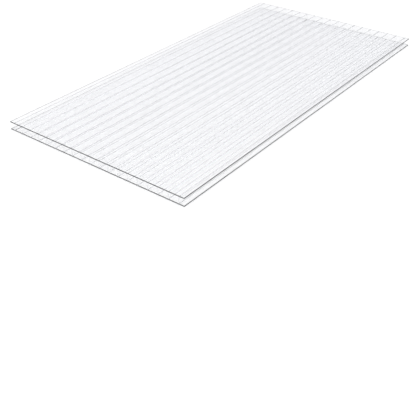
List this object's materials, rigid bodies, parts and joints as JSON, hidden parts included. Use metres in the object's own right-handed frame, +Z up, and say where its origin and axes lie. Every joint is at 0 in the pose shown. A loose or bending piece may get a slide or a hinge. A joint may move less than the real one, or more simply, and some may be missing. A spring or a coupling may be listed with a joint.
{
  "type": "multiwall polycarbonate sheet",
  "caption": "Flat clear twin-wall polycarbonate sheet: two thin skins joined by upright ribs, with open flutes along its length, for glazing and roofing.",
  "frame": {"origin": "middle of the underside, on the surface that the sheet lies on", "axes": "+X across the flutes, +Y along the flutes, +Z up through the thickness"},
  "size_m": [0.209, 0.418, 0.008],
  "materials": {
    "clear_polycarbonate": "clear, smooth extruded faces, with matt saw cuts on the four edges"
  },
  "bodies": {
    "root": {"multiwall_sheet": "clear_polycarbonate"}
  },
  "joints": []
}
